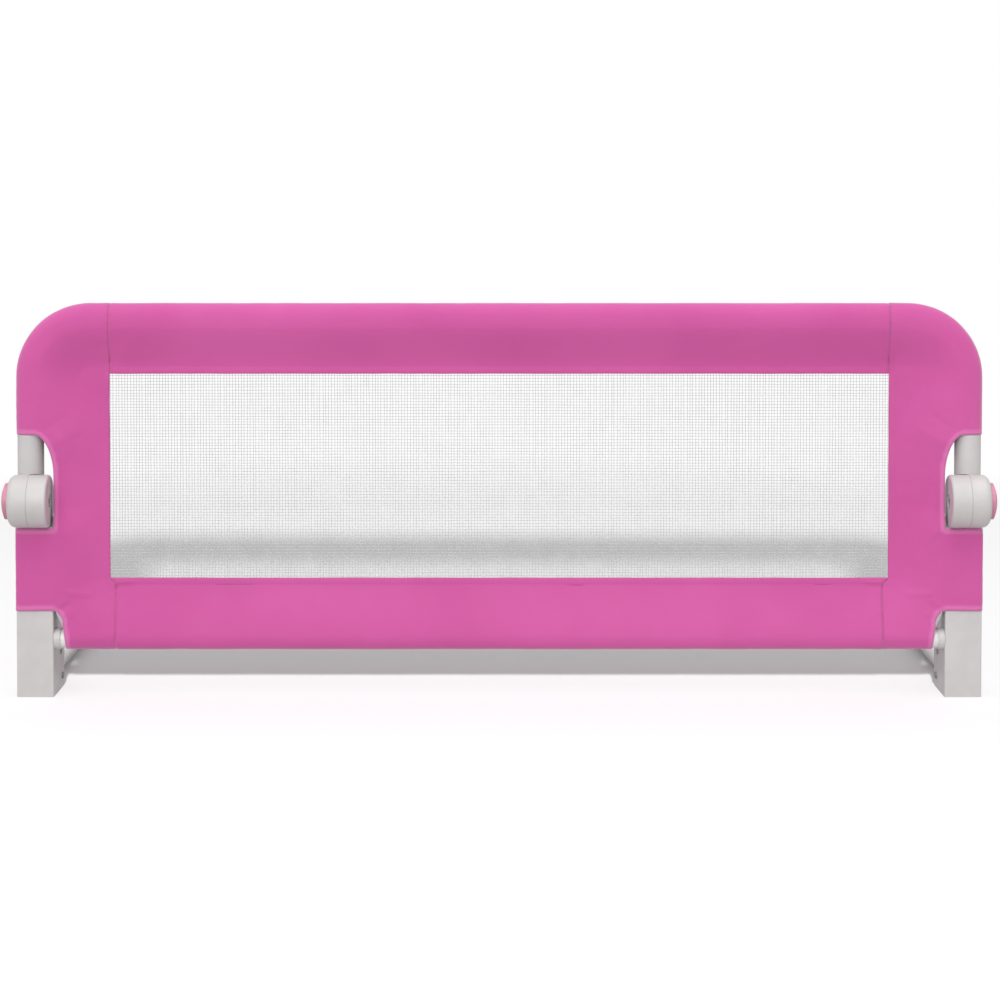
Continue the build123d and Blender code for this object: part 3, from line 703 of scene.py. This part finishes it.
def side_panel(name, hand):
    """A side panel, front and back in one: flat between, and wrapped round the corner tube, the leg
    and the cross tube. hand is 1 on the right and -1 on the left."""
    seam_x = window_half + (bend_x - window_half) * np.linspace(0, 1, seam_count) ** 1.5
    inner_x = np.concatenate([seam_x[:-1], np.linspace(bend_x, inner_end_x, inner_count)])
    hem_turn = np.linspace(0, math.pi / 2, 16)
    hem_z = cross_z - hem_radius + hem_swell * (1 - np.cos(hem_turn))
    rows = np.concatenate([
        np.linspace(hem_z[-1], foot_cut_top, 11),
        np.linspace(foot_cut_top, hub_cut_bottom, 40)[1:],
        np.linspace(hub_cut_bottom, hub_cut_top, 44)[1:],
        np.linspace(hub_cut_top, bend_z, 27)[1:],
    ])
    turns = np.linspace(0, math.pi / 2, turn_count)
    patches = []
    for side in (-1, 1):
        inward, across = sleeve_line(
            sleeve_radius, sleeve_swell, mid_y - tube_y, side, tube_bend, slope_reach
        )
        outer_x = tube_x - inward[inner_count:]
        outer_y = tube_y + across[inner_count:]
        leg_x, leg_y = pocket_outer_line(side)
        share = smooth((leg_shape_z - rows) / leg_shape_drop)[:, None]
        x_inner = np.repeat(inner_x[None, :], len(rows), 0)
        x = np.concatenate([x_inner, outer_x + (leg_x - outer_x) * share], 1)
        y_inner = panel_rows(side, inner_x[None, :], rows[:, None])
        y = np.concatenate([y_inner, outer_y + (leg_y - outer_y) * share], 1)
        z = np.repeat(rows[:, None], x.shape[1], 1)
        below = np.sin(hem_turn[:-1])[:, None]
        x = np.concatenate([np.repeat(x[:1], len(below), 0), x])
        y = np.concatenate([cross_y + side * hem_radius * below + (y[:1] - y[:1, :1]) * below, y])
        z = np.concatenate([np.repeat(hem_z[:-1, None], x.shape[1], 1), z])
        v = run_length(z[:, 0], y[:, 0])
        u = run_length(x[-1], y[-1])
        x, z, cut_hub, from_hub = trim(x, z, hub_cut_line(), in_hub_cut(x, z))
        x, z, cut_foot, from_foot = trim(x, z, foot_cut_line(), in_foot_cut(x, z))
        from_cut = np.minimum(from_hub, from_foot)
        # edge: the folded hem round the cut-outs; it raises the cloth and also marks where the painted highlight
        # goes
        edge = smooth((hem_width - from_cut) / cut_hem_edge)
        edge_round = smooth((edge_turn - from_cut) / edge_turn)
        out = edge_relief(x, z) + hem_rise * (1.6 * edge - 1.8 * edge_round)
        out = out + crease_height(x, z, creases) * smooth((inner_end_x - 2 - x) / 8.0)
        # relief fades out where the cloth wraps a tube
        lying = smooth((inner_end_x + 8 - x) / 4.0) * smooth((z - cross_z + 6.0) / 8.0)
        y = y + side * out * lying
        near_seam = 1 - smooth((x - window_half) / seam_spread)
        x = x - seam_lean * smooth((window_bottom - z) / seam_ease) * near_seam
        spread = np.stack(np.broadcast_arrays(side * u[None, :], v[:, None]), -1)
        patches.append(patch(np.stack([hand * x, y, z], -1), spread, edge, ~(cut_hub | cut_foot)))
        # the corner: a fan about the tube's bend, then the short straight run to the seam
        radius = tube_bend - inward
        fan_x = bend_x + radius * np.cos(turns)[:, None]
        fan_z = bend_z + radius * np.sin(turns)[:, None]
        fan_y = np.repeat((tube_y + across)[None, :], turn_count, 0)
        lying = smooth((inward - sleeve_swell + sleeve_radius) / 8.0)[None, :]
        fan_y = fan_y + side * crease_height(fan_x, fan_z, creases) * lying
        spread = np.stack([fan_x * side, fan_z], -1)
        patches.append(patch(np.stack([hand * fan_x, fan_y, fan_z], -1), spread))
        run_x = np.repeat(seam_x[::-1][:, None], len(inward), 1)
        run_z = np.repeat((tube_z - inward)[None, :], seam_count, 0)
        run_y = np.repeat((tube_y + across)[None, :], seam_count, 0)
        lean_y, lean_z = sleeve_lean(inward, side)
        height = edge_relief(run_x, run_z) + crease_height(run_x, run_z, creases) * lying
        points = np.stack([hand * run_x, run_y + lean_y * height, run_z + lean_z * height], -1)
        patches.append(patch(points, np.stack([run_x * side, run_z], -1)))
    return make_piece(name, patches, finishes["pink_cloth"])


cloth_waves = ((46.0, 0.5), (21.0, 0.3), (11.0, 0.2))
for hand, side_name, seed in ((-1, "left", 11), (1, "right", 23)):
    panel = side_panel(f"{side_name}_side_panel", hand)
    ripple(panel.name, 0.32, cloth_waves, seed)
    thicken(panel)
    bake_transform(panel)
    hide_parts(f"{side_name}_cover_side_lower", f"{side_name}_cover_side_upper")


# ---------------------------------------------------------------- top and bottom bands

band_columns = 220
band_end = 2.2         # width over which a band dips at its end seams
folded_rows = 5        # rows of a band that lie folded in behind the window's edge
band_creases = (
    ((394.0, 117.6), (377.0, 118.2), 1.6, 0.7),
    ((394.0, 113.5), (381.0, 112.5), 1.7, -0.5),
    ((389.0, 96.0), (380.0, 74.0), 4.0, 0.5),
    ((399.0, 344.0), (393.0, 372.0), 3.5, -0.8),
    ((386.0, 352.0), (372.0, 371.0), 6.0, 0.5),
)


def band(name, tube_centre_y, tube_centre_z, radius, swell, reach, window_z, ends):
    """A band between the side panels: folded in at the window's edge, up one side, round its tube and
    back down the other side. ends gives half its length at each height."""
    up = 1.0 if tube_centre_z > window_z else -1.0
    patches = []
    for side in (-1, 1):
        from_panel = abs(tube_centre_z - window_z) - hem_width - 1.5
        inward, across = sleeve_line(radius, swell, mid_y - tube_centre_y, side, from_panel, reach)
        # the fold at the window's edge: distance in from the edge, and offset of the layer there
        fold_in = np.array([9.0, 5.0, 1.2, 0.3, 0.0, 0.25, 0.9, 2.5, 4.2, hem_width, hem_width + hem_edge])
        hem = layer + hem_rise
        fold_off = np.array([0.3, 0.3, 0.3, 0.4, 0.75, 1.1, hem, hem, hem, hem, layer + 0.1])
        z = np.concatenate([window_z + up * fold_in, tube_centre_z - up * inward])
        y = np.concatenate([mid_y + side * fold_off, tube_centre_y + across])
        along_lean = np.concatenate([np.full(len(fold_in), reach), inward])
        lean_y, lean_z = sleeve_lean(along_lean, side, radius, swell)
        half_length = ends(z)
        # columns from end to end, a little closer together towards the end seams
        even = np.linspace(-1, 1, band_columns)
        even = even + 0.02 * np.sin(math.pi * even)
        x = half_length[:, None] * even[None, :]
        from_end = half_length[:, None] - np.abs(x)
        flat_z = np.repeat(z[:, None], band_columns, 1)
        height = pucker(from_end, flat_z, 0.4) - cloth * smooth((band_end - from_end) / band_end)
        height = height + crease_height(np.abs(x), flat_z, band_creases)
        height[:folded_rows] = 0.0
        out_y = y[:, None] + lean_y[:, None] * height
        out_z = flat_z + up * lean_z[:, None] * height
        points = np.stack([x, out_y, out_z], -1)
        along = run_length(y, z)
        spread = np.stack([x, np.repeat(side * along[:, None], band_columns, 1)], -1)
        patches.append(patch(points, spread))
    return make_piece(name, patches, finishes["pink_cloth"])


top_band = band("top_band", tube_y, tube_z, sleeve_radius, sleeve_swell, slope_reach, window_top,
                lambda z: np.full(len(z), window_half))
ripple(top_band.name, 0.3, ((90.0, 0.6), (31.0, 0.25), (13.0, 0.15)), 31)
thicken(top_band)
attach(top_band, "rail")
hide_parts("cover_top_band")

bottom_band = band("bottom_band", cross_y, cross_z, hem_radius, hem_swell, hem_reach, window_bottom,
                   lambda z: window_half - seam_lean * smooth((window_bottom - z) / seam_ease))
ripple(bottom_band.name, 0.35, ((80.0, 0.6), (31.0, 0.25), (13.0, 0.15)), 37)
thicken(bottom_band)
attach(bottom_band, "base")
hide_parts("cover_bottom_band")


# ---------------------------------------------------------------- mesh window

mesh_pitch = 3.0
yarn_radius = 0.35
tuck = 5.0             # how far the mesh runs in under the hems
level_steps = 34       # points along each level yarn
yarn_uneven = 0.14     # spread of the yarns' places


def yarns(lines, sides=4):
    """Square-section yarns: each line is a row of points, and the ring about each point lies across
    the line's own direction, x for upright yarns and z for level ones."""
    count, steps = lines.shape[:2]
    level = np.abs(lines[0, -1, 0] - lines[0, 0, 0]) > np.abs(lines[0, -1, 2] - lines[0, 0, 2])
    turn = np.arange(sides) * 2 * math.pi / sides + math.pi / 4
    across = np.array([0.0, 0.0, 1.0]) if level else np.array([1.0, 0.0, 0.0])
    ring = yarn_radius * (np.cos(turn)[:, None] * across + np.sin(turn)[:, None] * np.array([0.0, 1.0, 0.0]))
    points = lines[:, :, None, :] + ring
    index = np.arange(count * steps * sides).reshape(count, steps, sides)
    around = np.roll(index, -1, 2)
    quads = np.stack([index[:, :-1], around[:, :-1], around[:, 1:], index[:, 1:]], -1).reshape(-1, 4)
    spread = np.stack([points[..., 0], points[..., 2]], -1)
    return points.reshape(-1, 3), quads, spread.reshape(-1, 2), np.zeros(count * steps * sides)


def window_mesh():
    """Upright yarns that pass in turn before and behind level ones, unevenly spaced."""
    chance = np.random.default_rng(5)
    across = int(2 * (window_half + tuck) // mesh_pitch)
    high = int((window_top - window_bottom + 2 * tuck) // mesh_pitch)
    column_x = (np.arange(across) - (across - 1) / 2) * mesh_pitch + chance.normal(0, yarn_uneven, across)
    row_z = window_bottom - tuck + 1 + np.arange(high) * mesh_pitch + chance.normal(0, yarn_uneven, high)
    sign = np.where((np.arange(across)[:, None] + np.arange(high)[None, :]) % 2, 1.0, -1.0)
    wander = np.cumsum(chance.normal(0, 0.035, (across, high)), 1)
    upright = np.stack([column_x[:, None] + wander - wander.mean(1, keepdims=True),
                        mid_y + yarn_radius * sign,
                        np.repeat(row_z[None, :], across, 0)], -1)
    level_x = np.linspace(-window_half - tuck, window_half + tuck, level_steps)
    drift = 0.22 * np.sin(level_x[None, :] / 60.0 + np.arange(high)[:, None] * 0.35)
    level = np.stack([np.repeat(level_x[None, :], high, 0),
                      np.full((high, level_steps), mid_y),
                      row_z[:, None] + drift], -1)
    points = [yarns(upright), yarns(level)]
    starts = [0, len(points[0][0])]
    mesh = bpy.data.meshes.new("window_mesh")
    place = np.concatenate([p[0] for p in points]) * MM
    quads = np.concatenate([p[1] + s for p, s in zip(points, starts)])
    mesh.from_pydata(place.tolist(), [], quads.tolist())
    mesh.polygons.foreach_set("use_smooth", [True] * len(mesh.polygons))
    mesh.materials.append(finishes["white_mesh"])
    piece = bpy.data.objects.new("window_mesh", mesh)
    bpy.context.scene.collection.objects.link(piece)
    return piece


window = window_mesh()
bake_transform(window)
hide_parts("mesh_lower", "mesh_upper")

# ---------------------------------------------------------------- lock springs

# Each spring is a copy of the CAD one, with its doubled points merged, in bright steel and carried by the base
for hand, side_name in ((-1, "left"), (1, "right")):
    cad_spring = frame["nodes"][f"{side_name}_lock_spring"]
    coil_mesh = cad_spring.data.copy()
    wound = bmesh.new()
    wound.from_mesh(coil_mesh)
    bmesh.ops.remove_doubles(wound, verts=wound.verts, dist=0.001 * MM)
    wound.to_mesh(coil_mesh)
    wound.free()
    coil = bpy.data.objects.new(f"{side_name}_coil_spring", coil_mesh)
    bpy.context.scene.collection.objects.link(coil)
    coil.data.materials.clear()
    coil.data.materials.append(finishes["bright_steel"])
    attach(coil, "base")
    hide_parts(f"{side_name}_lock_spring")
    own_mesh(coil)

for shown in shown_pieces():
    object_group.objects.link(shown)
